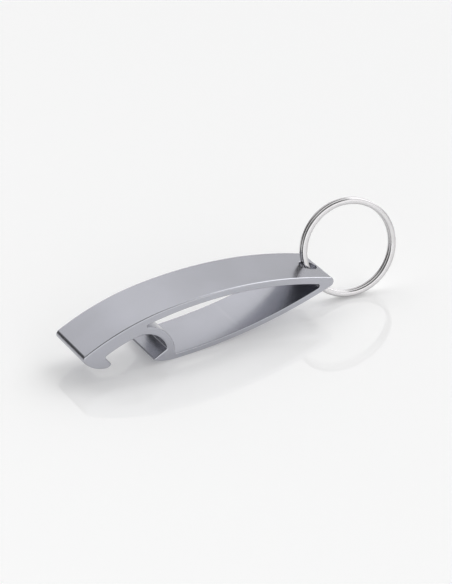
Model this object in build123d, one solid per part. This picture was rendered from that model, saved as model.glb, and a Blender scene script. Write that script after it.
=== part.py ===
from build123d import *
import os
from math import cos, sin, radians, sqrt, asin, degrees

# ---------------------------------------------------------------------------
# Key-ring bottle opener, millimetres, +Z up, standing on its rounded belly.
# X runs from the hook (-X) to the pointed ring end (+X).
# Y runs across the extrusion, and the two cut faces lie at Y = -7 and Y = +7.
# Z = 0 is the table.
# ---------------------------------------------------------------------------

# --- body: one length cut from an extruded bar, drilled once ----------------
WIDTH = 14.0            # across the two cut faces
EDGE_R = 0.35           # edge break all round the outside of the cut faces
SLOT_EDGE_R = 0.2       # finer edge break round the slot

# back of the opener: two arcs tangent to each other
BACK_X = 13.65          # highest point of the back
BACK_Z = 15.05
BACK_R = 109.0          # long arc running down to the ring end
HEAD_R = 63.0           # tighter arc running down to the hook
HEAD_X = 2.3            # where the two arcs meet

# belly of the opener: two arcs tangent to each other
BELLY_X = 6.4           # lowest point, on the table
BELLY_R = 133.5         # long arc running up to the ring end
JAW_R = 14.5            # short arc running up to the lip of the jaw
JAW_X = 5.1             # where the two arcs meet

TIP_R = 1.3             # rounding of the pointed ring end
NOSE_R = 1.2            # rounding of the hook's front corner
NOSE_START_X = -20.12
NOSE_MID = (-18.08, 5.15)
NOSE_END = (-13.9, 3.3)
HOOK_MID = (-12.85, 3.42)
HOOK_TIP = (-12.17, 4.0)
HOOK_FLANK_SLOPE = -1.4  # rise per unit of X of the hook's inner flank
THROAT_R = 0.45

# mouth that takes the edge of the crown cap
MOUTH_C = (-4.3, 2.1)   # centre of the round back of the mouth
MOUTH_R = 7.2
CEILING_C = (0.57, -22.79)   # centre of the long arc over the mouth
JAW_SLOPE = 0.516       # slope of the flat lever face of the jaw
LIP_X = -1.3            # sharp front of the jaw
LIP_R = 0.36
JAW_CORNER_R = 0.36

# slot that lightens the handle
MOUTH_WALL = 1.97       # wall between the mouth and the slot
SLOT_TOP_C = (14.77, -84.45)
SLOT_TOP_R = 97.72
SLOT_BOTTOM_C = (6.33, 129.88)
SLOT_BOTTOM_R = 128.38
SLOT_START_X = -2.6     # blunt end of the narrow crevice over the mouth
CREVICE_R = 0.22
SLOT_HEEL_R = 0.5
SLOT_END_R = 0.55

# hole for the split ring, drilled straight through the ring end
HOLE_X = 46.2
HOLE_D = 4.4
HOLE_EDGE = 0.2         # chamfer where the hole leaves the back and the belly

# --- split ring: one piece of wire coiled twice round -----------------------
RING_R = 12.55          # outside radius
WIRE_RADIAL = 1.48
WIRE_AXIAL = 1.08
WIRE_CORNER = 0.4
COIL_GAP = 0.04         # air between the two turns
JOG_ANGLE = 217.0       # middle of the step from one turn to the other
JOG_HALF = 8.0          # half the length of that step, degrees
END_GAP = 1.5           # gap between each cut end and the end of the step, degrees

# pose of the ring at rest: hung through the hole, leaning back, foot on the table
RING_LEAN = 13.1
RING_YAW = -9.4
WIRE_AT_HOLE = (46.32, -0.1, 8.0)   # where the wire passes through the body


def height_on(centre, radius, x, above):
    """Height of a circle's upper or lower half at x."""
    rise = sqrt(radius ** 2 - (x - centre[0]) ** 2)
    return centre[1] + rise if above else centre[1] - rise


def arc_between(centre, radius, x0, x1, above):
    """Arc of a circle's upper or lower half from x0 to x1."""
    xm = (x0 + x1) / 2
    ends = [(x, height_on(centre, radius, x, above)) for x in (x0, xm, x1)]
    return ThreePointArc(*ends)


def round_corner(face, x, z, radius):
    """Round the corner of a flat outline that lies nearest to (x, z)."""
    corner = sorted(face.vertices(), key=lambda v: (v.X - x) ** 2 + (v.Y - z) ** 2)[0]
    return fillet(corner, radius)


# ---------------------------------------------------------------------------
# opener body
# ---------------------------------------------------------------------------

back_c = (BACK_X, BACK_Z - BACK_R)
head_lean = (HEAD_X - BACK_X) / BACK_R
head_join = (HEAD_X, height_on(back_c, BACK_R, HEAD_X, True))
head_c = (
    head_join[0] - HEAD_R * head_lean,
    head_join[1] - HEAD_R * sqrt(1 - head_lean ** 2),
)

belly_c = (BELLY_X, BELLY_R)
jaw_lean = (JAW_X - BELLY_X) / BELLY_R
jaw_join = (JAW_X, height_on(belly_c, BELLY_R, JAW_X, False))
jaw_c = (
    jaw_join[0] - JAW_R * jaw_lean,
    jaw_join[1] + JAW_R * sqrt(1 - jaw_lean ** 2),
)

# the back and the belly would meet here if the ring end were sharp
lo, hi = 46.0, 56.0
for _ in range(40):
    mid = (lo + hi) / 2
    if height_on(back_c, BACK_R, mid, True) > height_on(belly_c, BELLY_R, mid, False):
        lo = mid
    else:
        hi = mid
tip_x = lo
tip_z = height_on(belly_c, BELLY_R, tip_x, False)

# the long arc over the mouth runs tangent into the round back of the mouth
gap_x = MOUTH_C[0] - CEILING_C[0]
gap_z = MOUTH_C[1] - CEILING_C[1]
centre_gap = sqrt(gap_x ** 2 + gap_z ** 2)
ceiling_r = centre_gap + MOUTH_R
ceiling_x = CEILING_C[0] + ceiling_r * gap_x / centre_gap
ceiling_join = (ceiling_x, height_on(CEILING_C, ceiling_r, ceiling_x, True))

# the hook's inner flank runs up to the long arc at the throat
throat_x = HOOK_TIP[0]
for _ in range(60):
    ceiling_z = height_on(CEILING_C, ceiling_r, throat_x, True)
    throat_x = HOOK_TIP[0] + (ceiling_z - HOOK_TIP[1]) / HOOK_FLANK_SLOPE
throat = (throat_x, height_on(CEILING_C, ceiling_r, throat_x, True))

# the jaw's flat face runs from the lip to the back of the mouth
lip = (LIP_X, height_on(jaw_c, JAW_R, LIP_X, False))
jaw_x = MOUTH_C[0] + MOUTH_R
for _ in range(60):
    jaw_z = lip[1] + JAW_SLOPE * (jaw_x - LIP_X)
    jaw_x = MOUTH_C[0] + sqrt(MOUTH_R ** 2 - (jaw_z - MOUTH_C[1]) ** 2)
jaw_corner = (jaw_x, lip[1] + JAW_SLOPE * (jaw_x - LIP_X))
mouth_mid_angle = radians(50)
mouth_mid = (
    MOUTH_C[0] + MOUTH_R * cos(mouth_mid_angle),
    MOUTH_C[1] + MOUTH_R * sin(mouth_mid_angle),
)

nose = (NOSE_START_X, height_on(head_c, HEAD_R, NOSE_START_X, True))

with BuildSketch() as outline:
    with BuildLine():
        arc_between(head_c, HEAD_R, NOSE_START_X, HEAD_X, True)
        arc_between(back_c, BACK_R, HEAD_X, tip_x, True)
        arc_between(belly_c, BELLY_R, tip_x, JAW_X, False)
        arc_between(jaw_c, JAW_R, JAW_X, LIP_X, False)
        Line(lip, jaw_corner)
        ThreePointArc(jaw_corner, mouth_mid, ceiling_join)
        arc_between(CEILING_C, ceiling_r, ceiling_x, throat[0], True)
        Line(throat, HOOK_TIP)
        ThreePointArc(HOOK_TIP, HOOK_MID, NOSE_END)
        ThreePointArc(NOSE_END, NOSE_MID, nose)
    make_face()
    round_corner(outline, tip_x, tip_z, TIP_R)
    round_corner(outline, *nose, NOSE_R)
    round_corner(outline, *lip, LIP_R)
    round_corner(outline, *jaw_corner, JAW_CORNER_R)
    round_corner(outline, *throat, THROAT_R)
    round_corner(outline, *HOOK_TIP, LIP_R)

# slot: blunt crevice over the mouth, round wall behind the mouth, pointed far end
wall_r = MOUTH_R + MOUTH_WALL
crevice_low = (SLOT_START_X, height_on(MOUTH_C, wall_r, SLOT_START_X, True))
crevice_high = (SLOT_START_X, height_on(SLOT_TOP_C, SLOT_TOP_R, SLOT_START_X, True))
heel_x = MOUTH_C[0] + wall_r
for _ in range(60):
    heel_z = height_on(SLOT_BOTTOM_C, SLOT_BOTTOM_R, heel_x, False)
    heel_x = MOUTH_C[0] + sqrt(wall_r ** 2 - (heel_z - MOUTH_C[1]) ** 2)
heel = (heel_x, height_on(SLOT_BOTTOM_C, SLOT_BOTTOM_R, heel_x, False))
wall_mid_angle = radians(40)
wall_mid = (
    MOUTH_C[0] + wall_r * cos(wall_mid_angle),
    MOUTH_C[1] + wall_r * sin(wall_mid_angle),
)
lo, hi = 40.0, 50.0
for _ in range(40):
    mid = (lo + hi) / 2
    top_z = height_on(SLOT_TOP_C, SLOT_TOP_R, mid, True)
    bottom_z = height_on(SLOT_BOTTOM_C, SLOT_BOTTOM_R, mid, False)
    if top_z > bottom_z:
        lo = mid
    else:
        hi = mid
slot_end = (lo, height_on(SLOT_BOTTOM_C, SLOT_BOTTOM_R, lo, False))

with BuildSketch() as slot:
    with BuildLine():
        Line(crevice_low, crevice_high)
        arc_between(SLOT_TOP_C, SLOT_TOP_R, SLOT_START_X, slot_end[0], True)
        arc_between(SLOT_BOTTOM_C, SLOT_BOTTOM_R, slot_end[0], heel[0], False)
        ThreePointArc(heel, wall_mid, crevice_low)
    make_face()
    round_corner(slot, *slot_end, SLOT_END_R)
    round_corner(slot, *heel, SLOT_HEEL_R)
    round_corner(slot, *crevice_high, CREVICE_R)
    round_corner(slot, *crevice_low, CREVICE_R)


def cut_face_edges(solid):
    """Edges that lie in the two cut faces."""
    return [
        e for e in solid.edges()
        if abs(abs(e.center().Y) - WIDTH / 2) < 1e-4
        and e.bounding_box().size.Y < 1e-4
    ]


upright = Plane.XZ
blank = extrude(upright * outline.sketch, amount=WIDTH / 2, both=True)
blank = fillet(cut_face_edges(blank), EDGE_R)
core = extrude(upright * slot.sketch, amount=WIDTH / 2 + 1, both=True)
opener_body = blank - core
slot_edges = [
    e for e in cut_face_edges(opener_body)
    if SLOT_START_X - 0.1 < e.center().X < slot_end[0]
    and e.center().Z > height_on(SLOT_BOTTOM_C, SLOT_BOTTOM_R, e.center().X, False) - 0.2
    and e.center().Z < height_on(SLOT_TOP_C, SLOT_TOP_R, e.center().X, True) + 0.2
    and sqrt((e.center().X - MOUTH_C[0]) ** 2 + (e.center().Z - MOUTH_C[1]) ** 2) > wall_r - 0.3
]
opener_body = fillet(slot_edges, SLOT_EDGE_R)
drill = Pos(HOLE_X, 0, 8) * Cylinder(HOLE_D / 2, 30)
opener_body = opener_body - drill


def on_hole_rim(edge):
    """True for an edge where the drilled hole leaves the back or the belly."""
    for share in (0.1, 0.5, 0.9):
        p = edge.position_at(share)
        off_wall = abs(sqrt((p.X - HOLE_X) ** 2 + p.Y ** 2) - HOLE_D / 2)
        back_z = height_on(back_c, BACK_R, p.X, True)
        belly_z = height_on(belly_c, BELLY_R, p.X, False)
        if off_wall > 0.01 or (back_z - 0.5 > p.Z > belly_z + 0.5):
            return False
    return True


rims = [e for e in opener_body.edges() if on_hole_rim(e)]
opener_body = chamfer(rims, HOLE_EDGE)
opener_body = opener_body.solids().sort_by(SortBy.VOLUME)[-1]

# ---------------------------------------------------------------------------
# split ring, coiled round its own +Z axis and then hung through the hole
# ---------------------------------------------------------------------------

coil_r = RING_R - WIRE_RADIAL / 2
coil_step = (WIRE_AXIAL + COIL_GAP) / 2


def wire_section(angle, height):
    """Rounded section of the wire, standing across the coil at an angle."""
    spot = Plane(
        origin=(coil_r * cos(radians(angle)), coil_r * sin(radians(angle)), height),
        x_dir=(cos(radians(angle)), sin(radians(angle)), 0),
        z_dir=(-sin(radians(angle)), cos(radians(angle)), 0),
    )
    return spot * RectangleRounded(WIRE_RADIAL, WIRE_AXIAL, WIRE_CORNER)


def step_height(share):
    """Height of the wire along the step, easing in and out."""
    return coil_step * cos(share * 3.141592653589793)


jog_start = JOG_ANGLE - JOG_HALF
jog_end = JOG_ANGLE + JOG_HALF
turn_arc = 360 - 2 * JOG_HALF - END_GAP
near_turn = revolve(wire_section(jog_start, coil_step), Axis.Z, -turn_arc)
far_turn = revolve(wire_section(jog_end, -coil_step), Axis.Z, turn_arc)
shares = [i / 6 for i in range(7)]
step = loft([
    wire_section(jog_start + s * 2 * JOG_HALF, step_height(s)) for s in shares
])
coil = near_turn + step + far_turn

lean = radians(RING_LEAN)
yaw = radians(RING_YAW)
ring_axis = Vector(cos(lean) * sin(yaw), -cos(lean) * cos(yaw), sin(lean))
ring_across = Vector(cos(yaw), sin(yaw), 0)
ring_up = Vector(-sin(lean) * sin(yaw), sin(lean) * cos(yaw), cos(lean))
ring_width = 2 * coil_step + WIRE_AXIAL
ring_z = RING_R * cos(lean) + ring_width / 2 * sin(lean)
ring_z -= WIRE_CORNER * (cos(lean) + sin(lean) - 1)
drop = (ring_z - WIRE_AT_HOLE[2]) / cos(lean)
reach = sqrt(coil_r ** 2 - drop ** 2)
ring_c = Vector(*WIRE_AT_HOLE) + ring_across * reach + ring_up * drop
hang = Plane(origin=ring_c, x_dir=ring_across, z_dir=ring_axis)
split_ring = hang.location * coil
split_ring = split_ring.solids().sort_by(SortBy.VOLUME)[-1]

# ---------------------------------------------------------------------------
# files
# ---------------------------------------------------------------------------

os.makedirs("parts", exist_ok=True)
export_step(opener_body, "parts/opener_body.step")
export_step(split_ring, "parts/split_ring.step")

for name, solid in (("opener_body", opener_body), ("split_ring", split_ring)):
    box = solid.bounding_box()
    print(name, "volume", round(solid.volume, 1), "valid", solid.is_valid)
    print("  min", [round(v, 2) for v in box.min], "max", [round(v, 2) for v in box.max])
print("ring centre", [round(v, 3) for v in ring_c])
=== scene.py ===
import math

import bmesh
import bpy
from mathutils import Matrix, Vector
from mathutils.geometry import tessellate_polygon


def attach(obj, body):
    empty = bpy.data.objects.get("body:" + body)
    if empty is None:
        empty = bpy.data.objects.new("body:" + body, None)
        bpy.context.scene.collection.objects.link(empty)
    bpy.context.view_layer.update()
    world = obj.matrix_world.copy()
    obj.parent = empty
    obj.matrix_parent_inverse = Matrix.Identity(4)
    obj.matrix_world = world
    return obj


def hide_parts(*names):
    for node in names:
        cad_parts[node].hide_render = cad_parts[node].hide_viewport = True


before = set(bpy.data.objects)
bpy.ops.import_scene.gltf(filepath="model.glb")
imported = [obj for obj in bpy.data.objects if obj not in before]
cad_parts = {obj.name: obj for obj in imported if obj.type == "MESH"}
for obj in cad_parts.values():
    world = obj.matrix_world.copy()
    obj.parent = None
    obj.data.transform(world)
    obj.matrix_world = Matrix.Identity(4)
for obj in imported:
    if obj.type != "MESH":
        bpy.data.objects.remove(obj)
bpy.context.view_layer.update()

bl_info = {
    "name": "Keychain Bottle Opener",
    "version": (1, 0, 0),
    "blender": (4, 5, 0),
    "location": "3D View > Sidebar > Bottle Opener",
    "description": "Builds an extruded aluminium bottle opener with its split ring",
    "category": "Add Mesh",
}

MM = 0.001

# --- profile of the extruded body, millimetres in the X Z plane --------------
BACK_X, BACK_Z, BACK_R = 13.65, 15.05, 109.0
HEAD_R, HEAD_X = 63.0, 2.3
BELLY_X, BELLY_R = 6.4, 133.5
JAW_R, JAW_X = 14.5, 5.1
TIP_R, NOSE_R, NOSE_START_X = 1.3, 1.2, -20.12
NOSE_MID, NOSE_END = -18.08 + 5.15j, -13.9 + 3.3j
HOOK_MID, HOOK_TIP = -12.85 + 3.42j, -12.17 + 4.0j
HOOK_FLANK_SLOPE = -1.4
THROAT_R = 0.45
MOUTH_C, MOUTH_R = -4.3 + 2.1j, 7.2
CEILING_C = 0.57 - 22.79j
JAW_SLOPE, LIP_X, LIP_R, JAW_CORNER_R = 0.516, -1.3, 0.36, 0.36
MOUTH_WALL = 1.97
SLOT_TOP_C, SLOT_TOP_R = 14.77 - 84.45j, 97.72
SLOT_BOTTOM_C, SLOT_BOTTOM_R = 6.33 + 129.88j, 128.38
SLOT_START_X, CREVICE_R, SLOT_HEEL_R, SLOT_END_R = -2.6, 0.22, 0.5, 0.55

# --- hole for the ring -------------------------------------------------------
HOLE_X = 46.2
RAY_STEP = 2.5              # degrees between the rays that lead to the hole
SEAT_LEFT = 115.0           # ray that meets the left far corner of the hole's patch
SEAT_RIGHT = 67.5           # ray that meets the right far corner
SEAT_MARGIN_LEFT = 0.12     # clear of other stations beside the patch
SEAT_MARGIN_RIGHT = 0.02
PATCH_ROWS, RIM_ROWS = 7, 5     # rows from the border to the rim, and over the rim
PATCH_CROWDING = 1.5        # draws the rows together towards the rim

# --- fineness of the meshes, millimetres between stations and counts of rows --
BODY_SPACING, SLOT_SPACING = 0.45, 0.2
EDGE_ROWS, SLOT_EDGE_ROWS = 6, 5
COIL_ROWS, CAP_ROWS, CORNER_STEPS = 380, 4, 8

# --- split ring: where the wire passes through the body, and how it leans -----
WIRE_AT_HOLE = (46.32, -0.1, 8.0)
RING_LEAN, RING_YAW = 13.1, -9.4
JOG_ANGLE, JOG_HALF, END_GAP = 217.0, 8.0, 1.5
WIRE_CORNER = 0.4

# --- camera, degrees and metres ----------------------------------------------
AIM = Vector((0.0, -0.007, 0.000828))
AIM_ON_FILM = (-68.5, -69.7)
FILM_UNITS = 2657.588
FILM_LONG_SIDE = 584.0


# =============================================================================
# flat outlines, with points as complex numbers: real is X, imaginary is Z
# =============================================================================

def height_on(centre, radius, x, above):
    """Point of a circle's upper or lower half at x."""
    rise = math.sqrt(radius ** 2 - (x - centre.real) ** 2)
    return complex(x, centre.imag + rise if above else centre.imag - rise)


def meeting_x(low, high, keep_going):
    """The x between low and high where keep_going stops being true."""
    for _ in range(50):
        middle = (low + high) / 2
        if keep_going(middle):
            low = middle
        else:
            high = middle
    return low


class Stroke:
    """A straight or round stroke of an outline. turn is 1 where it bends to the left."""

    def __init__(self, start, end, middle=None, centre=None, turn=0):
        self.start, self.end, self.centre, self.turn = start, end, centre, turn
        if middle is not None:
            w = (end - start) / (middle - start)
            bow = (middle - start) * (w - abs(w) ** 2) / (2j * w.imag)
            self.centre = start + bow
            bend = ((middle - start).conjugate() * (end - middle)).imag
            self.turn = 1 if bend > 0 else -1
        self.radius = 0.0 if self.centre is None else abs(start - self.centre)

    def left(self, point):
        """Unit vector to the left of the stroke at a point of it."""
        if self.centre is None:
            return (self.end - self.start) / abs(self.end - self.start) * 1j
        return -self.turn * (point - self.centre) / abs(point - self.centre)

    def offset(self, point):
        """Distance of a point to the left of the stroke."""
        if self.centre is None:
            return ((point - self.start) * self.left(point).conjugate()).real
        return self.turn * (self.radius - abs(point - self.centre))

    def samples(self, longest, widest):
        """Points along the stroke with their left normals, without the end."""
        if self.centre is None:
            return [(self.start, self.left(self.start))]
        sweep = (self.end - self.centre) / (self.start - self.centre)
        angle = math.atan2(sweep.imag, sweep.real) % math.tau
        if self.turn < 0:
            angle -= math.tau
        length = abs(angle) * self.radius
        count = max(2, math.ceil(max(length / longest, abs(angle) / widest)))
        found = []
        for i in range(count):
            swing = complex(math.cos(angle * i / count), math.sin(angle * i / count))
            point = self.centre + (self.start - self.centre) * swing
            found.append((point, self.left(point)))
        return found


def round_corner(path, i, radius):
    """Round the corner between stroke i and the next one, and return the new stroke."""
    a, b = path[i], path[(i + 1) % len(path)]
    corner = a.end
    la, lb = a.left(corner), b.left(corner)
    side = 1 if (la.conjugate() * lb).imag > 0 else -1
    centre = corner + side * radius * (la + lb) / abs(la + lb)
    for _ in range(30):
        ga, gb = a.left(centre), b.left(centre)
        ea = side * radius - a.offset(centre)
        eb = side * radius - b.offset(centre)
        det = ga.real * gb.imag - ga.imag * gb.real
        centre += complex(ea * gb.imag - eb * ga.imag, ga.real * eb - gb.real * ea) / det
    start = centre - side * radius * a.left(centre)
    end = centre - side * radius * b.left(centre)
    a.end, b.start = start, end
    return Stroke(start, end, centre=centre, turn=side)


def rounded(path, radii):
    """The path with the corner after stroke i rounded to radii[i]."""
    fillets = {i: round_corner(path, i, r) for i, r in radii.items()}
    out = []
    for i, stroke in enumerate(path):
        out.append(stroke)
        if i in fillets:
            out.append(fillets[i])
    return out


def arc(centre, radius, x0, x1, above):
    """Stroke along a circle's upper or lower half."""
    a, m, b = (height_on(centre, radius, x, above) for x in (x0, (x0 + x1) / 2, x1))
    return Stroke(a, b, middle=m)


def body_outline():
    """Outside of the profile, clockwise from the nose, so that left is outwards."""
    back_c = complex(BACK_X, BACK_Z - BACK_R)
    lean = (HEAD_X - BACK_X) / BACK_R
    join = height_on(back_c, BACK_R, HEAD_X, True)
    head_c = join - HEAD_R * complex(lean, math.sqrt(1 - lean ** 2))
    belly_c = complex(BELLY_X, BELLY_R)
    lean = (JAW_X - BELLY_X) / BELLY_R
    join = height_on(belly_c, BELLY_R, JAW_X, False)
    jaw_c = join + JAW_R * complex(-lean, math.sqrt(1 - lean ** 2))

    def thick(x):
        top = height_on(back_c, BACK_R, x, True)
        return top.imag > height_on(belly_c, BELLY_R, x, False).imag

    tip_x = meeting_x(46.0, 56.0, thick)

    gap = MOUTH_C - CEILING_C
    ceiling_r = abs(gap) + MOUTH_R
    ceiling_x = (CEILING_C + ceiling_r * gap / abs(gap)).real

    def outside_throat(x):
        flank = HOOK_TIP.imag + HOOK_FLANK_SLOPE * (x - HOOK_TIP.real)
        return height_on(CEILING_C, ceiling_r, x, True).imag < flank

    throat_x = meeting_x(-18.0, -12.2, outside_throat)
    throat = height_on(CEILING_C, ceiling_r, throat_x, True)
    lip = height_on(jaw_c, JAW_R, LIP_X, False)

    def before_wall(x):
        spot = complex(x, lip.imag + JAW_SLOPE * (x - LIP_X))
        return abs(spot - MOUTH_C) < MOUTH_R

    jaw_x = meeting_x(LIP_X, MOUTH_C.real + MOUTH_R, before_wall)
    jaw_corner = complex(jaw_x, lip.imag + JAW_SLOPE * (jaw_x - LIP_X))
    mouth_mid = MOUTH_C + MOUTH_R * complex(math.cos(math.radians(50)), math.sin(math.radians(50)))
    ceiling_join = height_on(CEILING_C, ceiling_r, ceiling_x, True)
    nose = height_on(head_c, HEAD_R, NOSE_START_X, True)
    path = [
        arc(head_c, HEAD_R, NOSE_START_X, HEAD_X, True),
        arc(back_c, BACK_R, HEAD_X, tip_x, True),
        arc(belly_c, BELLY_R, tip_x, JAW_X, False),
        arc(jaw_c, JAW_R, JAW_X, LIP_X, False),
        Stroke(lip, jaw_corner),
        Stroke(jaw_corner, ceiling_join, middle=mouth_mid),
        arc(CEILING_C, ceiling_r, ceiling_x, throat_x, True),
        Stroke(throat, HOOK_TIP),
        Stroke(HOOK_TIP, NOSE_END, middle=HOOK_MID),
        Stroke(NOSE_END, nose, middle=NOSE_MID),
    ]
    radii = {1: TIP_R, 9: NOSE_R, 3: LIP_R, 4: JAW_CORNER_R, 6: THROAT_R, 7: LIP_R}
    return rounded(path, radii)


def slot_outline():
    """Inside of the slot, anticlockwise, so that left is away from the metal."""
    wall_r = MOUTH_R + MOUTH_WALL
    low = height_on(MOUTH_C, wall_r, SLOT_START_X, True)
    high = height_on(SLOT_TOP_C, SLOT_TOP_R, SLOT_START_X, True)

    def open_at(x):
        top = height_on(SLOT_TOP_C, SLOT_TOP_R, x, True)
        return top.imag > height_on(SLOT_BOTTOM_C, SLOT_BOTTOM_R, x, False).imag

    def behind_wall(x):
        return abs(height_on(SLOT_BOTTOM_C, SLOT_BOTTOM_R, x, False) - MOUTH_C) < wall_r

    end_x = meeting_x(40.0, 50.0, open_at)
    heel_x = meeting_x(MOUTH_C.real, 10.0, behind_wall)
    heel = height_on(SLOT_BOTTOM_C, SLOT_BOTTOM_R, heel_x, False)
    wall_mid = MOUTH_C + wall_r * complex(math.cos(math.radians(40)), math.sin(math.radians(40)))
    path = [
        Stroke(low, heel, middle=wall_mid),
        arc(SLOT_BOTTOM_C, SLOT_BOTTOM_R, heel_x, end_x, False),
        arc(SLOT_TOP_C, SLOT_TOP_R, end_x, SLOT_START_X, True),
        Stroke(high, low),
    ]
    return rounded(path, {0: SLOT_HEEL_R, 1: SLOT_END_R, 2: CREVICE_R, 3: CREVICE_R})


def stations_of(path, longest=BODY_SPACING, widest=math.radians(7)):
    """Points and normals right round an outline."""
    return [s for stroke in path for s in stroke.samples(longest, widest)]


# =============================================================================
# meshes
# =============================================================================

class Shell:
    """Gathers the points of a closed surface with their normals and edge wear."""

    def __init__(self):
        self.points, self.normals, self.wear, self.faces = [], [], [], []

    def add(self, point, normal, wear=0.0):
        self.points.append(Vector(point) * MM)
        self.normals.append(Vector(normal).normalized())
        self.wear.append(wear)
        return len(self.points) - 1

    def bridge(self, a, b, closed=True):
        """Quads between two rows of points."""
        count = len(a)
        for i in range(count if closed else count - 1):
            j = (i + 1) % count
            self.faces.append((a[i], a[j], b[j], b[i]))

    def to_object(self, name, material):
        """A smooth mesh object with the stored normals and an edge_wear attribute."""
        mesh = bpy.data.meshes.new(name)
        mesh.from_pydata(self.points, [], self.faces)
        bm = bmesh.new()
        bm.from_mesh(mesh)
        bmesh.ops.recalc_face_normals(bm, faces=bm.faces)
        bm.to_mesh(mesh)
        bm.free()
        mesh.shade_smooth()
        mesh.normals_split_custom_set_from_vertices(self.normals)
        wear = mesh.attributes.new("edge_wear", "FLOAT", "POINT")
        wear.data.foreach_set("value", self.wear)
        mesh.materials.append(material)
        obj = bpy.data.objects.new(name, mesh)
        bpy.context.scene.collection.objects.link(obj)
        return obj


def edge_rows(shell, stations, side, width, radius, steps, wear):
    """Rows of points from a cut face, over its rounded edge, to the extruded wall."""
    rows = []
    for k in range(steps + 1):
        turn = math.pi / 2 * k / steps
        inset = radius * (1 - math.sin(turn))
        y = side * (width / 2 - radius * (1 - math.cos(turn)))
        row = []
        for point, out in stations:
            spot = point - out * inset
            normal = (out.real * math.sin(turn), side * math.cos(turn), out.imag * math.sin(turn))
            row.append(shell.add((spot.real, y, spot.imag), normal, wear * math.sin(2 * turn)))
        rows.append(row)
    return rows


def cut_face(shell, outer, inner):
    """Flat face between the outline and the slot."""
    loops = [[(shell.points[i].x, shell.points[i].z, 0.0) for i in loop] for loop in (outer, inner)]
    index = outer + inner
    for triangle in tessellate_polygon(loops):
        shell.faces.append(tuple(index[i] for i in triangle))


def height_at(path, x, above):
    """Point and outward normal of the drilled end of the outline at x."""
    back, tip, belly = path[1], path[2], path[3]
    if above:
        stroke = back if x < back.end.real else tip
    else:
        stroke = belly if x < belly.start.real else tip
    upper_half = above if stroke is not belly else False
    point = height_on(stroke.centre, stroke.radius, x, upper_half)
    return point, stroke.left(point)


def seat_stations(path, stations, reach):
    """Replace the stations over and under the hole by ones that lie on its rays."""
    rays = []
    angle = SEAT_LEFT
    while angle >= SEAT_RIGHT - 1e-6:
        rays.append(round(angle / RAY_STEP))
        angle -= RAY_STEP
    xs = {ray: HOLE_X + reach / math.tan(math.radians(ray * RAY_STEP)) for ray in rays}
    first, last = xs[rays[0]] - SEAT_MARGIN_LEFT, xs[rays[-1]] + SEAT_MARGIN_RIGHT
    kept, seats, placed = [], {}, set()
    for point, normal in stations:
        above = normal.imag > 0
        if not first < point.real < last:
            kept.append((point, normal))
        elif above not in placed:
            placed.add(above)
            for ray in rays if above else reversed(rays):
                seats[(above, ray)] = len(kept)
                kept.append(height_at(path, xs[ray], above))
    return kept, seats, xs


def drilled_patch(shell, path, near, far, seats, xs, above, reach, hole_r, rim):
    """Wall of the body round one mouth of the hole, down to the straight bore."""
    count = round(360 / RAY_STEP)
    left_ray, right_ray = round(SEAT_LEFT / RAY_STEP), round(SEAT_RIGHT / RAY_STEP)
    border, sides = [], {}
    for ray in range(count):
        mirrored = count - ray
        if right_ray <= ray <= left_ray:
            border.append(far[seats[(above, ray)]])
        elif right_ray <= mirrored <= left_ray:
            border.append(near[seats[(above, mirrored)]])
        else:
            end = left_ray if left_ray < ray < count - left_ray else right_ray
            x = xs[end]
            y = (x - HOLE_X) * math.tan(math.radians(ray * RAY_STEP))
            spot, normal = height_at(path, x, above)
            border.append(shell.add((x, y, spot.imag), (normal.real, 0, normal.imag)))
            sides.setdefault(seats[(above, end)], []).append((y, border[-1]))
    sides = {seat: [i for _, i in sorted(found)] for seat, found in sides.items()}

    rows = [border]
    for step in range(1, PATCH_ROWS + 1):
        row = []
        for ray in range(count):
            start = shell.points[border[ray]] / MM
            span = math.hypot(start.x - HOLE_X, start.y)
            share = 1 - (1 - step / PATCH_ROWS) ** PATCH_CROWDING
            r = span + (hole_r + rim - span) * share
            angle = math.radians(ray * RAY_STEP)
            x, y = HOLE_X + r * math.cos(angle), r * math.sin(angle)
            spot, normal = height_at(path, x, above)
            row.append(shell.add((x, y, spot.imag), (normal.real, 0, normal.imag)))
        rows.append(row)
    down = -1 if above else 1
    for step in range(1, RIM_ROWS + 1):
        row, share = [], step / RIM_ROWS
        for ray in range(count):
            angle = math.radians(ray * RAY_STEP)
            across = Vector((math.cos(angle), math.sin(angle), 0))
            corner, normal = height_at(path, HOLE_X + hole_r * across.x, above)
            b = Vector((HOLE_X, 0, corner.imag)) + across * hole_r
            a = shell.points[rows[len(rows) - step][ray]] / MM
            c = b + Vector((0, 0, down * rim))
            spot = a * (1 - share) ** 2 + b * 2 * share * (1 - share) + c * share ** 2
            turn = share * math.pi / 2
            facing = Vector((normal.real, 0, normal.imag)) * math.cos(turn)
            facing -= across * math.sin(turn)
            row.append(shell.add(spot, facing, math.sin(2 * turn)))
        rows.append(row)
    for a, b in zip(rows, rows[1:]):
        shell.bridge(a, b)
    return rows[-1], sides


def slot_walls(shell, slot, near, far, hole_r):
    """Walls of the slot, left open where the hole crosses its pointed end."""
    def bore_half(x):
        return math.sqrt(max(0.0, hole_r ** 2 - (x - HOLE_X) ** 2))

    def middle(i):
        point, out = slot[i]
        half, normal = bore_half(point.real), (out.real, 0, out.imag)
        left = shell.add((point.real, -half, point.imag), normal)
        right = left if half == 0 else shell.add((point.real, half, point.imag), normal)
        return left, right

    mids = {}
    for i in range(len(slot)):
        j = (i + 1) % len(slot)
        if max(bore_half(slot[i][0].real), bore_half(slot[j][0].real)) == 0:
            shell.faces.append((near[i], near[j], far[j], far[i]))
            continue
        for k in (i, j):
            if k not in mids:
                mids[k] = middle(k)
        shell.faces.append((near[i], near[j], mids[j][0], mids[i][0]))
        shell.faces.append((mids[i][1], mids[j][1], far[j], far[i]))


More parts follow.
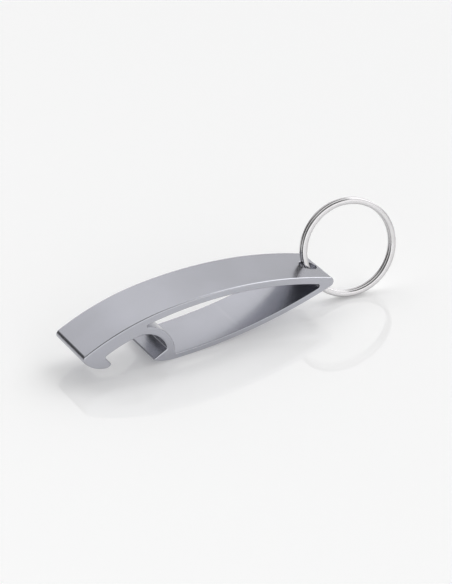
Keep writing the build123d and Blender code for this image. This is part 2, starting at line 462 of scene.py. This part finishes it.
def bore_walls(shell, slot, top_row, bottom_row, hole_r):
    """Straight wall of the hole, left open where it crosses the slot."""
    tip = max((point for point, _ in slot), key=lambda point: point.real)

    def slot_heights(x):
        found = []
        for i in range(len(slot)):
            a, b = slot[i][0], slot[(i + 1) % len(slot)][0]
            if a.real != b.real and min(a.real, b.real) <= x <= max(a.real, b.real):
                found.append(a.imag + (b.imag - a.imag) * (x - a.real) / (b.real - a.real))
        return (max(found), min(found)) if found else (tip.imag, tip.imag)

    high_row, low_row = [], []
    for ray in range(len(top_row)):
        angle = math.radians(ray * RAY_STEP)
        across = Vector((math.cos(angle), math.sin(angle), 0))
        x, y = HOLE_X + hole_r * across.x, hole_r * across.y
        high, low = slot_heights(x)
        high_row.append(shell.add((x, y, high), -across))
        low_row.append(high_row[-1] if high == low else shell.add((x, y, low), -across))
    shell.bridge(top_row, high_row)
    shell.bridge(low_row, bottom_row)


def body_shell(settings):
    """The whole opener body as one closed surface."""
    width = settings.width / MM
    edge_r = settings.edge_radius / MM
    slot_edge_r = settings.slot_edge_radius / MM
    hole_r = settings.hole_diameter / MM / 2
    rim = settings.hole_rim / MM
    reach = width / 2 - edge_r
    shell = Shell()
    path = body_outline()
    stations, seats, xs = seat_stations(path, stations_of(path), reach)
    slot = stations_of(slot_outline(), SLOT_SPACING)
    walls = {}
    for side in (-1, 1):
        outer = edge_rows(shell, stations, side, width, edge_r, EDGE_ROWS, 1.0)
        inner = edge_rows(shell, slot, side, width, slot_edge_r, SLOT_EDGE_ROWS, 0.7)
        for rows in (outer, inner):
            for a, b in zip(rows, rows[1:]):
                shell.bridge(a, b)
        cut_face(shell, outer[0], inner[0])
        walls[side] = (outer[-1], inner[-1])
    near, far = walls[-1][0], walls[1][0]
    slot_walls(shell, slot, walls[-1][1], walls[1][1], hole_r)

    sides, bores = {}, []
    for above in (True, False):
        bore, found = drilled_patch(
            shell, path, near, far, seats, xs, above, reach, hole_r, rim
        )
        bores.append(bore)
        sides.update(found)
    bore_walls(shell, slot, *bores, hole_r)
    seated = {index: above for (above, _), index in seats.items()}
    for i in range(len(stations)):
        j = (i + 1) % len(stations)
        if i in seated and j in seated and seated[i] == seated[j]:
            continue
        face = [near[i], near[j], *sides.get(j, [])]
        face += [far[j], far[i], *reversed(sides.get(i, []))]
        shell.faces.append(tuple(face))
    return shell


def wire_section(radial, axial, corner, crown, steps=CORNER_STEPS):
    """Flat wire with rounded corners: offsets and normals across the coil."""
    found = []
    for quarter in range(4):
        cu = 1 if quarter in (0, 3) else -1
        cv = 1 if quarter < 2 else -1
        for i in range(steps + 1):
            angle = math.pi / 2 * (quarter + i / steps)
            nu, nv = math.cos(angle), math.sin(angle)
            u = cu * (radial / 2 - corner) + corner * nu
            v = cv * (axial / 2 - corner) + corner * nv
            bowed = math.atan2(nv + crown * v / axial, nu + crown * u / radial)
            found.append((u, v, math.cos(bowed), math.sin(bowed)))
    return found


def ring_frame(coil_r, ring_r, ring_width):
    """Centre and axes of the ring, hung through the hole with its foot on the table."""
    lean, yaw = math.radians(RING_LEAN), math.radians(RING_YAW)
    ahead = Vector((-math.sin(yaw), math.cos(yaw), 0))
    across = Vector((math.cos(yaw), math.sin(yaw), 0))
    axis = Vector((0, 0, math.sin(lean))) - ahead * math.cos(lean)
    up = Vector((0, 0, math.cos(lean))) + ahead * math.sin(lean)
    height = ring_r * math.cos(lean) + ring_width / 2 * math.sin(lean)
    height -= WIRE_CORNER * (math.cos(lean) + math.sin(lean) - 1)
    drop = (height - WIRE_AT_HOLE[2]) / math.cos(lean)
    reach = math.sqrt(coil_r ** 2 - drop ** 2)
    return Vector(WIRE_AT_HOLE) + across * reach + up * drop, across, up, axis


def ring_shell(settings):
    """Two turns of wire joined by a step, with rounded cut ends."""
    radial, axial = settings.wire_radial / MM, settings.wire_axial / MM
    ring_r = settings.diameter / MM / 2
    coil_r = ring_r - radial / 2
    step = (axial + settings.coil_gap / MM) / 2
    centre, across, up, axis = ring_frame(coil_r, ring_r, 2 * step + axial)
    section = wire_section(radial, axial, WIRE_CORNER, settings.crown)
    shell = Shell()
    begin = JOG_ANGLE + JOG_HALF + END_GAP - 360
    finish = JOG_ANGLE - JOG_HALF - END_GAP + 360
    angles = [begin + (finish - begin) * i / COIL_ROWS for i in range(COIL_ROWS + 1)]

    def height(angle):
        share = (angle - (JOG_ANGLE - JOG_HALF)) / (2 * JOG_HALF)
        return step * math.cos(math.pi * min(1.0, max(0.0, share)))

    def row_at(angle, along=0.0, shrink=0.0, facing=0.0):
        """One section of the wire, pushed along it and drawn in for the cut ends."""
        a = math.radians(angle)
        rise = (height(angle + 0.05) - height(angle - 0.05)) / (math.radians(0.1) * coil_r)
        out = across * math.cos(a) + up * math.sin(a)
        run = (up * math.cos(a) - across * math.sin(a) + axis * rise).normalized()
        tall = (axis - run * axis.dot(run)).normalized()
        middle = centre + out * coil_r + axis * height(angle) + run * along
        row = []
        for u, v, nu, nv in section:
            spot = middle + out * (u - nu * shrink) + tall * (v - nv * shrink)
            normal = (out * nu + tall * nv) * (1 - abs(facing)) + run * facing
            row.append(shell.add(spot, normal, abs(facing) * (1 - abs(facing)) * 4))
        return row

    rows = []
    cap = settings.end_rounding / MM
    turns = [math.pi / 2 * k / CAP_ROWS for k in range(CAP_ROWS)]
    for turn in turns:
        drawn_in = cap * (1 - math.sin(turn))
        rows.append(row_at(begin, -cap * math.cos(turn), drawn_in, -math.cos(turn)))
    rows += [row_at(angle) for angle in angles]
    for turn in reversed(turns):
        drawn_in = cap * (1 - math.sin(turn))
        rows.append(row_at(finish, cap * math.cos(turn), drawn_in, math.cos(turn)))
    for a, b in zip(rows, rows[1:]):
        shell.bridge(a, b)
    shell.faces.append(tuple(rows[0]))
    shell.faces.append(tuple(reversed(rows[-1])))
    return shell


# =============================================================================
# materials
# =============================================================================

def node(tree, kind, values=None, **props):
    """New shader node with its properties set and its inputs set or linked."""
    made = tree.nodes.new(kind)
    made.location = (190 * (len(tree.nodes) % 12), -230 * (len(tree.nodes) // 12))
    for key, value in props.items():
        setattr(made, key, value)
    for key, value in (values or {}).items():
        if isinstance(value, bpy.types.NodeSocket):
            tree.links.new(value, made.inputs[key])
        else:
            made.inputs[key].default_value = value
    return made


def new_group(name, inputs, outputs):
    """Empty shader node group with named sockets; returns it with its end nodes."""
    group = bpy.data.node_groups.new(name, "ShaderNodeTree")
    for socket, kind, default in inputs:
        made = group.interface.new_socket(socket, in_out="INPUT", socket_type=kind)
        if default is not None:
            made.default_value = default
    for socket, kind in outputs:
        group.interface.new_socket(socket, in_out="OUTPUT", socket_type=kind)
    return group, node(group, "NodeGroupInput"), node(group, "NodeGroupOutput")


def maths(tree, operation, a, b=0.0):
    """Result of a Math node."""
    return node(tree, "ShaderNodeMath", {0: a, 1: b}, operation=operation).outputs[0]


def ramp(tree, value, low, high, to_low=0.0, to_high=1.0):
    """A value remapped between two limits, smoothly."""
    values = {"Value": value, 1: low, 2: high, 3: to_low, 4: to_high}
    made = node(tree, "ShaderNodeMapRange", values, interpolation_type="SMOOTHSTEP")
    return made.outputs["Result"]


def noise(tree, vector, scale, detail=2.0, roughness=0.5, distortion=0.0):
    """Value of a Noise Texture node."""
    values = {"Vector": vector, "Scale": scale, "Detail": detail}
    values.update({"Roughness": roughness, "Distortion": distortion})
    return node(tree, "ShaderNodeTexNoise", values).outputs["Fac"]


def mix_colour(tree, share, a, b):
    """Colour between a and b."""
    made = node(tree, "ShaderNodeMix", data_type="RGBA")
    for socket, value in ((made.inputs[0], share), (made.inputs[6], a), (made.inputs[7], b)):
        if isinstance(value, bpy.types.NodeSocket):
            tree.links.new(value, socket)
        else:
            socket.default_value = value
    return made.outputs[2]


def scratch_group():
    """Hairline handling scratches that run in all directions."""
    group, start, end = new_group(
        "hairline_scratches",
        [("Vector", "NodeSocketVector", None), ("Scale", "NodeSocketFloat", 300.0),
         ("Amount", "NodeSocketFloat", 0.5)],
        [("Mask", "NodeSocketFloat")],
    )
    masks = []
    for turn, stretch in ((0.5, 0.06), (1.9, 0.045)):
        spun = node(group, "ShaderNodeMapping", {
            "Vector": start.outputs["Vector"],
            "Rotation": (turn, turn * 0.7, turn * 1.3),
            "Scale": (1.0, stretch, 1.0),
        }).outputs[0]
        cells = node(group, "ShaderNodeTexVoronoi", {
            "Vector": spun, "Scale": start.outputs["Scale"],
        }, feature="DISTANCE_TO_EDGE").outputs["Distance"]
        line = ramp(group, cells, 0.0, 0.035, 1.0, 0.0)
        breaks = noise(group, spun, start.outputs["Scale"], 1.0)
        masks.append(maths(group, "MULTIPLY", line, ramp(group, breaks, 0.5, 0.68)))
    both = maths(group, "MAXIMUM", *masks)
    group.links.new(maths(group, "MULTIPLY", both, start.outputs["Amount"]), end.inputs["Mask"])
    return group


def grain_group():
    """Fine blasted grain with slow clouding."""
    group, start, end = new_group(
        "satin_grain",
        [("Vector", "NodeSocketVector", None), ("Grain Scale", "NodeSocketFloat", 9000.0),
         ("Cloud Scale", "NodeSocketFloat", 140.0)],
        [("Grain", "NodeSocketFloat"), ("Cloud", "NodeSocketFloat")],
    )
    grain = noise(group, start.outputs["Vector"], start.outputs["Grain Scale"], 3.0, 0.6)
    cloud = noise(group, start.outputs["Vector"], start.outputs["Cloud Scale"], 3.0, 0.55)
    group.links.new(grain, end.inputs["Grain"])
    group.links.new(cloud, end.inputs["Cloud"])
    return group


def wear_group():
    """Rubbed edges: the stored edge mask broken up by noise."""
    group, start, end = new_group(
        "edge_wear",
        [("Vector", "NodeSocketVector", None), ("Edge", "NodeSocketFloat", 0.0),
         ("Scale", "NodeSocketFloat", 900.0), ("Amount", "NodeSocketFloat", 0.6)],
        [("Mask", "NodeSocketFloat")],
    )
    patches = noise(group, start.outputs["Vector"], start.outputs["Scale"], 4.0, 0.6)
    spread = ramp(group, patches, 0.35, 0.7, 0.25, 1.0)
    worn = maths(group, "MULTIPLY", ramp(group, start.outputs["Edge"], 0.35, 1.0), spread)
    group.links.new(maths(group, "MULTIPLY", worn, start.outputs["Amount"]), end.inputs["Mask"])
    return group


def use_group(tree, group, values):
    """A placed copy of a node group with its inputs set."""
    return node(tree, "ShaderNodeGroup", values, node_tree=group)


def new_material(name):
    """Empty material; returns it with its tree, Principled node and coordinates."""
    material = bpy.data.materials.new(name)
    material.use_nodes = True
    tree = material.node_tree
    shader = tree.nodes["Principled BSDF"]
    place = node(tree, "ShaderNodeTexCoord").outputs["Object"]
    return material, tree, shader, place


def aluminium(settings, groups):
    """Satin anodised aluminium with die lines across the width."""
    material, tree, shader, place = new_material("satin_anodised_aluminium")
    edge = node(tree, "ShaderNodeAttribute", attribute_name="edge_wear").outputs["Fac"]
    grain = use_group(tree, groups["grain"], {
        "Vector": place, "Grain Scale": 9000.0, "Cloud Scale": 110.0,
    })
    worn = use_group(tree, groups["wear"], {
        "Vector": place, "Edge": edge, "Scale": 700.0, "Amount": settings.edge_polish,
    }).outputs["Mask"]
    marks = use_group(tree, groups["scratches"], {
        "Vector": place, "Scale": 420.0, "Amount": 0.25,
    }).outputs["Mask"]
    stretch = {0: place, 1: (1.0, 0.012, 1.0)}
    drawn = node(tree, "ShaderNodeVectorMath", stretch, operation="MULTIPLY")
    lines = noise(tree, drawn.outputs[0], 2600.0, 4.0, 0.65)
    facing = node(tree, "ShaderNodeSeparateXYZ", {
        0: node(tree, "ShaderNodeTexCoord").outputs["Normal"],
    }).outputs["Y"]
    walls = ramp(tree, maths(tree, "ABSOLUTE", facing), 0.5, 0.95, 1.0, 0.0)

    colour = mix_colour(
        tree, ramp(tree, grain.outputs["Cloud"], 0.3, 0.7),
        (*settings.shade_colour, 1), (*settings.metal_colour, 1),
    )
    bright = (*settings.worn_colour, 1)
    colour = mix_colour(tree, maths(tree, "MULTIPLY", worn, 0.8), colour, bright)
    colour = mix_colour(tree, maths(tree, "MULTIPLY", marks, 0.35), colour, bright)
    tree.links.new(colour, shader.inputs["Base Color"])

    clouding = maths(tree, "MULTIPLY", grain.outputs["Cloud"], 0.06)
    rough = maths(tree, "ADD", settings.roughness - 0.05, clouding)
    rough = maths(tree, "ADD", rough, maths(tree, "MULTIPLY", grain.outputs["Grain"], 0.04))
    rough = maths(tree, "SUBTRACT", rough, maths(tree, "MULTIPLY", worn, 0.08))
    tree.links.new(rough, shader.inputs["Roughness"])
    shader.inputs["Metallic"].default_value = 1.0
    shader.inputs["Coat Weight"].default_value = 0.12
    shader.inputs["Coat Roughness"].default_value = 0.12

    height = maths(tree, "MULTIPLY", grain.outputs["Grain"], 0.5)
    drawn_lines = maths(tree, "MULTIPLY", maths(tree, "MULTIPLY", lines, walls), settings.die_lines)
    height = maths(tree, "ADD", height, drawn_lines)
    height = maths(tree, "SUBTRACT", height, maths(tree, "MULTIPLY", marks, 0.4))
    bump = node(tree, "ShaderNodeBump", {"Height": height, "Strength": 0.12, "Distance": 0.00002})
    tree.links.new(bump.outputs[0], shader.inputs["Normal"])
    return material


def plated_steel(settings, groups):
    """Polished nickel-plated wire with fine rub marks."""
    material, tree, shader, place = new_material("polished_nickel_plate")
    edge = node(tree, "ShaderNodeAttribute", attribute_name="edge_wear").outputs["Fac"]
    grain = use_group(tree, groups["grain"], {
        "Vector": place, "Grain Scale": 5000.0, "Cloud Scale": 260.0,
    })
    marks = use_group(tree, groups["scratches"], {
        "Vector": place, "Scale": 420.0, "Amount": 0.6,
    }).outputs["Mask"]
    worn = use_group(tree, groups["wear"], {
        "Vector": place, "Edge": edge, "Scale": 1500.0, "Amount": 0.7,
    }).outputs["Mask"]
    colour = mix_colour(
        tree, ramp(tree, grain.outputs["Cloud"], 0.3, 0.7),
        (*settings.shade_colour, 1), (*settings.metal_colour, 1),
    )
    colour = mix_colour(tree, worn, colour, (*settings.cut_colour, 1))
    tree.links.new(colour, shader.inputs["Base Color"])
    clouding = maths(tree, "MULTIPLY", grain.outputs["Cloud"], 0.04)
    rough = maths(tree, "ADD", settings.roughness - 0.02, clouding)
    rough = maths(tree, "ADD", rough, maths(tree, "MULTIPLY", marks, 0.12))
    rough = maths(tree, "ADD", rough, maths(tree, "MULTIPLY", worn, 0.2))
    tree.links.new(rough, shader.inputs["Roughness"])
    shader.inputs["Metallic"].default_value = 1.0
    height = maths(tree, "SUBTRACT", maths(tree, "MULTIPLY", grain.outputs["Grain"], 0.2), marks)
    bump = node(tree, "ShaderNodeBump", {"Height": height, "Strength": 0.1, "Distance": 0.00001})
    tree.links.new(bump.outputs[0], shader.inputs["Normal"])
    return material


def shared_groups():
    """The node groups that more than one material uses, made once."""
    makers = {"scratches": scratch_group, "grain": grain_group, "wear": wear_group}
    names = {"scratches": "hairline_scratches", "grain": "satin_grain", "wear": "edge_wear"}
    return {
        key: bpy.data.node_groups.get(names[key]) or make()
        for key, make in makers.items()
    }


# =============================================================================
# stage
# =============================================================================

def floor_material(settings):
    """Glossy white acrylic with a faint painted glow: the floor itself emits light, which lifts its
    shadows.
    """
    material, tree, shader, place = new_material("white_gloss_acrylic")
    cloud = noise(tree, place, 6.0, 2.0)
    colour = mix_colour(tree, cloud, (*settings.floor_colour, 1), (0.96, 0.96, 0.96, 1))
    tree.links.new(colour, shader.inputs["Base Color"])
    shader.inputs["Roughness"].default_value = 0.6
    shader.inputs["Specular IOR Level"].default_value = 0.0
    # painted light: the floor emits a faint white glow that lifts the shadows on it; no lamp lights
    # it from below
    shader.inputs["Emission Color"].default_value = (1, 1, 1, 1)
    shader.inputs["Emission Strength"].default_value = settings.floor_painted_glow
    shader.inputs["Coat Weight"].default_value = settings.floor_gloss
    shader.inputs["Coat IOR"].default_value = 1.65
    shader.inputs["Coat Roughness"].default_value = 0.03
    return material


# direction, full inside this many degrees, none outside this many, brightness there
SKY_SHADES = (
    ((-0.86, -0.14, 0.44), 22, 34, 0.05),
    ((-0.10, -0.15, 0.98), 27, 40, 0.06),
    ((-0.20, -0.68, 0.70), 18, 32, 0.06),
    ((-0.62, 0.70, 0.30), 14, 30, 0.10),
    ((-0.16, 0.74, 0.65), 5, 18, 0.84),
    ((0.56, 0.77, 0.32), 8, 22, 0.80),
)
SKY_LIGHTS = (
    ((0.80, 0.15, 0.58), 12, 30, 1.5),
    ((-0.20, -0.97, 0.08), 14, 50, 0.75),
    ((0.46, 0.88, 0.08), 4, 14, 0.5),
)


def spot_mask(tree, way, direction, inner, outer, low, high):
    """low away from a direction of the sky and high towards it."""
    unit = Vector(direction).normalized()
    dot = node(tree, "ShaderNodeVectorMath", {0: way, 1: unit}, operation="DOT_PRODUCT")
    limits = (math.cos(math.radians(outer)), math.cos(math.radians(inner)))
    return ramp(tree, dot.outputs["Value"], *limits, low, high)


def set_world(settings):
    """Soft white studio: pale walls and overhead light, dark openings, soft lamps."""
    world = bpy.data.worlds.new("soft_studio")
    bpy.context.scene.world = world
    world.use_nodes = True
    tree = world.node_tree
    back = tree.nodes["Background"]
    way = node(tree, "ShaderNodeTexCoord").outputs["Generated"]
    rise = node(tree, "ShaderNodeSeparateXYZ", {0: way}).outputs["Z"]
    walls = ramp(tree, rise, 0.0, 0.5, settings.horizon_strength, settings.wall_strength)
    overhead = ramp(tree, rise, 0.78, 0.92, 0.0, settings.overhead_strength)
    level = maths(tree, "ADD", walls, overhead)
    for *place, value in SKY_SHADES:
        level = maths(tree, "MULTIPLY", spot_mask(tree, way, *place, 1.0, value), level)
    for *place, value in SKY_LIGHTS:
        level = maths(tree, "ADD", spot_mask(tree, way, *place, 0.0, value), level)
    tree.links.new(level, back.inputs["Strength"])
    back.inputs["Color"].default_value = (1, 1, 1, 1)
    plain = node(tree, "ShaderNodeBackground", {"Color": (1, 1, 1, 1), "Strength": 1.2})
    ray = node(tree, "ShaderNodeLightPath").outputs["Is Camera Ray"]
    both = node(tree, "ShaderNodeMixShader", {0: ray, 1: back.outputs[0], 2: plain.outputs[0]})
    tree.links.new(both.outputs[0], tree.nodes["World Output"].inputs[0])


def build_camera(settings):
    """Camera at the chosen azimuth, elevation and distance, upright."""
    a, e = settings.azimuth, settings.elevation
    back = Vector((math.sin(a) * math.cos(e), -math.cos(a) * math.cos(e), math.sin(e)))
    right = Vector((math.cos(a), math.sin(a), 0))
    up = back.cross(right)
    data = bpy.data.cameras.new("studio_camera")
    camera = bpy.data.objects.new("studio_camera", data)
    bpy.context.scene.collection.objects.link(camera)
    u, v = (n / FILM_UNITS for n in AIM_ON_FILM)
    spot = AIM - settings.distance * (right * u + up * v - back)
    turn = Matrix((right, up, back)).transposed().to_4x4()
    camera.matrix_world = Matrix.Translation(spot) @ turn
    data.sensor_width = 36.0
    data.lens = FILM_UNITS * 36.0 / FILM_LONG_SIDE
    data.clip_start, data.clip_end = 0.02, 20.0
    bpy.context.scene.camera = camera


# =============================================================================
# settings, operators and panel
# =============================================================================

class OpenerBodySettings(bpy.types.PropertyGroup):
    """Sizes and finish of the extruded body."""

    width: bpy.props.FloatProperty(
        name="Width", description="Length cut from the extrusion", default=0.014, unit="LENGTH")
    edge_radius: bpy.props.FloatProperty(
        name="Edge radius", description="Rounding round both cut faces",
        default=0.00035, unit="LENGTH")
    slot_edge_radius: bpy.props.FloatProperty(
        name="Slot edge radius", description="Rounding round the slot",
        default=0.0002, unit="LENGTH")
    hole_diameter: bpy.props.FloatProperty(
        name="Hole diameter", description="Hole drilled for the ring",
        default=0.0044, unit="LENGTH")
    hole_rim: bpy.props.FloatProperty(
        name="Hole rim", description="Rounding at both mouths of the hole",
        default=0.0002, unit="LENGTH")
    metal_colour: bpy.props.FloatVectorProperty(
        name="Metal", description="Colour of the anodised metal", subtype="COLOR", size=3,
        default=(0.47, 0.475, 0.52), min=0, max=1)
    shade_colour: bpy.props.FloatVectorProperty(
        name="Metal shade", description="Darker cloud in the anodised metal",
        subtype="COLOR", size=3,
        default=(0.45, 0.455, 0.495), min=0, max=1)
    worn_colour: bpy.props.FloatVectorProperty(
        name="Worn metal", description="Brighter metal on rubbed edges", subtype="COLOR", size=3,
        default=(0.62, 0.62, 0.65), min=0, max=1)
    roughness: bpy.props.FloatProperty(
        name="Roughness", description="Roughness of the satin finish",
        default=0.23, min=0, max=1, subtype="FACTOR")
    edge_polish: bpy.props.FloatProperty(
        name="Edge polish", description="How far the edges are rubbed bright",
        default=0.35, min=0, max=1, subtype="FACTOR")
    die_lines: bpy.props.FloatProperty(
        name="Die lines", description="Depth of the extrusion lines against the grain",
        default=1.0, min=0, max=4)


class SplitRingSettings(bpy.types.PropertyGroup):
    """Sizes and finish of the split ring."""

    diameter: bpy.props.FloatProperty(
        name="Diameter", description="Outside diameter of the ring", default=0.0251, unit="LENGTH")
    wire_radial: bpy.props.FloatProperty(
        name="Wire depth", description="Wire size towards the centre",
        default=0.00148, unit="LENGTH")
    wire_axial: bpy.props.FloatProperty(
        name="Wire width", description="Wire size along the ring's axis",
        default=0.00108, unit="LENGTH")
    coil_gap: bpy.props.FloatProperty(
        name="Coil gap", description="Air between the two turns", default=0.00004, unit="LENGTH")
    crown: bpy.props.FloatProperty(
        name="Crown", description="How far the flats of the wire look bowed",
        default=0.4, min=0, max=1)
    end_rounding: bpy.props.FloatProperty(
        name="End rounding", description="Rounding of the two cut ends",
        default=0.00012, unit="LENGTH")
    metal_colour: bpy.props.FloatVectorProperty(
        name="Plating", description="Colour of the plating", subtype="COLOR", size=3,
        default=(0.58, 0.572, 0.58), min=0, max=1)
    shade_colour: bpy.props.FloatVectorProperty(
        name="Plating shade", description="Slightly duller plating", subtype="COLOR", size=3,
        default=(0.55, 0.54, 0.545), min=0, max=1)
    cut_colour: bpy.props.FloatVectorProperty(
        name="Cut ends", description="Steel that shows at the cut ends", subtype="COLOR", size=3,
        default=(0.42, 0.41, 0.40), min=0, max=1)
    roughness: bpy.props.FloatProperty(
        name="Roughness", description="Roughness of the polish",
        default=0.04, min=0, max=1, subtype="FACTOR")


class StageSettings(bpy.types.PropertyGroup):
    """Floor, light and camera."""

    floor_size: bpy.props.FloatProperty(
        name="Floor size", description="Side of the square floor", default=6.0, unit="LENGTH")
    floor_colour: bpy.props.FloatVectorProperty(
        name="Floor", description="Colour of the floor", subtype="COLOR", size=3,
        default=(0.95, 0.95, 0.95), min=0, max=1)
    floor_gloss: bpy.props.FloatProperty(
        name="Floor gloss", description="Clear gloss over the floor",
        default=1.0, min=0, max=1, subtype="FACTOR")
    # painted light: strength of the glow the floor emits itself to lift its shadows, not a lamp
    # below the floor
    floor_painted_glow: bpy.props.FloatProperty(
        name="Floor painted glow", description="Painted glow emitted by the floor itself",
        default=0.18, min=0, max=2)
    overhead_strength: bpy.props.FloatProperty(
        name="Overhead light", description="Extra brightness overhead", default=1.6, min=0, max=10)
    wall_strength: bpy.props.FloatProperty(
        name="Walls", description="Brightness of the walls", default=1.06, min=0, max=10)
    horizon_strength: bpy.props.FloatProperty(
        name="Horizon", description="Brightness of the walls where they meet the floor",
        default=0.8, min=0, max=10)
    azimuth: bpy.props.FloatProperty(
        name="Azimuth", description="Camera angle round the object",
        default=math.radians(-30.554), unit="ROTATION")
    elevation: bpy.props.FloatProperty(
        name="Elevation", description="Camera angle above the floor",
        default=math.radians(30.965), unit="ROTATION")
    distance: bpy.props.FloatProperty(
        name="Distance", description="Distance along the view", default=0.62984, unit="LENGTH")


class OPENER_OT_body(bpy.types.Operator):
    """Build the extruded aluminium body"""

    bl_idname = "opener.body"
    bl_label = "Opener body"

    def execute(self, context):
        settings = context.scene.opener_body
        material = aluminium(settings, shared_groups())
        body = body_shell(settings).to_object("aluminium_body", material)
        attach(body, "opener")
        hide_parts("opener_body")
        return {"FINISHED"}


class OPENER_OT_ring(bpy.types.Operator):
    """Build the split ring that hangs in the hole"""

    bl_idname = "opener.ring"
    bl_label = "Split ring"

    def execute(self, context):
        settings = context.scene.opener_ring
        material = plated_steel(settings, shared_groups())
        ring = ring_shell(settings).to_object("key_ring", material)
        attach(ring, "ring")
        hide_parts("split_ring")
        return {"FINISHED"}


class OPENER_OT_stage(bpy.types.Operator):
    """Build the floor, the light and the camera"""

    bl_idname = "opener.stage"
    bl_label = "Stage"

    def execute(self, context):
        settings = context.scene.opener_stage
        half = settings.floor_size / 2
        mesh = bpy.data.meshes.new("stage_floor")
        corners = [(-half, -half, 0), (half, -half, 0), (half, half, 0), (-half, half, 0)]
        mesh.from_pydata(corners, [], [(0, 1, 2, 3)])
        mesh.materials.append(floor_material(settings))
        floor = bpy.data.objects.new("stage_floor", mesh)
        context.scene.collection.objects.link(floor)
        set_world(settings)
        build_camera(settings)
        context.scene.view_settings.view_transform = "Standard"
        return {"FINISHED"}


class OPENER_PT_panel(bpy.types.Panel):
    """Lists the operators in the 3D view's sidebar"""

    bl_idname = "OPENER_PT_panel"
    bl_label = "Bottle Opener"
    bl_space_type = "VIEW_3D"
    bl_region_type = "UI"
    bl_category = "Bottle Opener"

    def draw(self, context):
        for operator in OPERATORS:
            self.layout.operator(operator.bl_idname)


OPERATORS = (OPENER_OT_body, OPENER_OT_ring, OPENER_OT_stage)
GROUPS = (
    ("opener_body", OpenerBodySettings),
    ("opener_ring", SplitRingSettings),
    ("opener_stage", StageSettings),
)


def register():
    for name, group in GROUPS:
        bpy.utils.register_class(group)
        setattr(bpy.types.Scene, name, bpy.props.PointerProperty(type=group))
    for operator in (*OPERATORS, OPENER_PT_panel):
        bpy.utils.register_class(operator)


def unregister():
    for operator in reversed((*OPERATORS, OPENER_PT_panel)):
        bpy.utils.unregister_class(operator)
    for name, group in reversed(GROUPS):
        delattr(bpy.types.Scene, name)
        bpy.utils.unregister_class(group)


def main():
    register()
    bpy.ops.opener.body()
    bpy.ops.opener.ring()
    bpy.ops.opener.stage()
    bpy.context.view_layer.update()


if __name__ == "__main__":
    main()
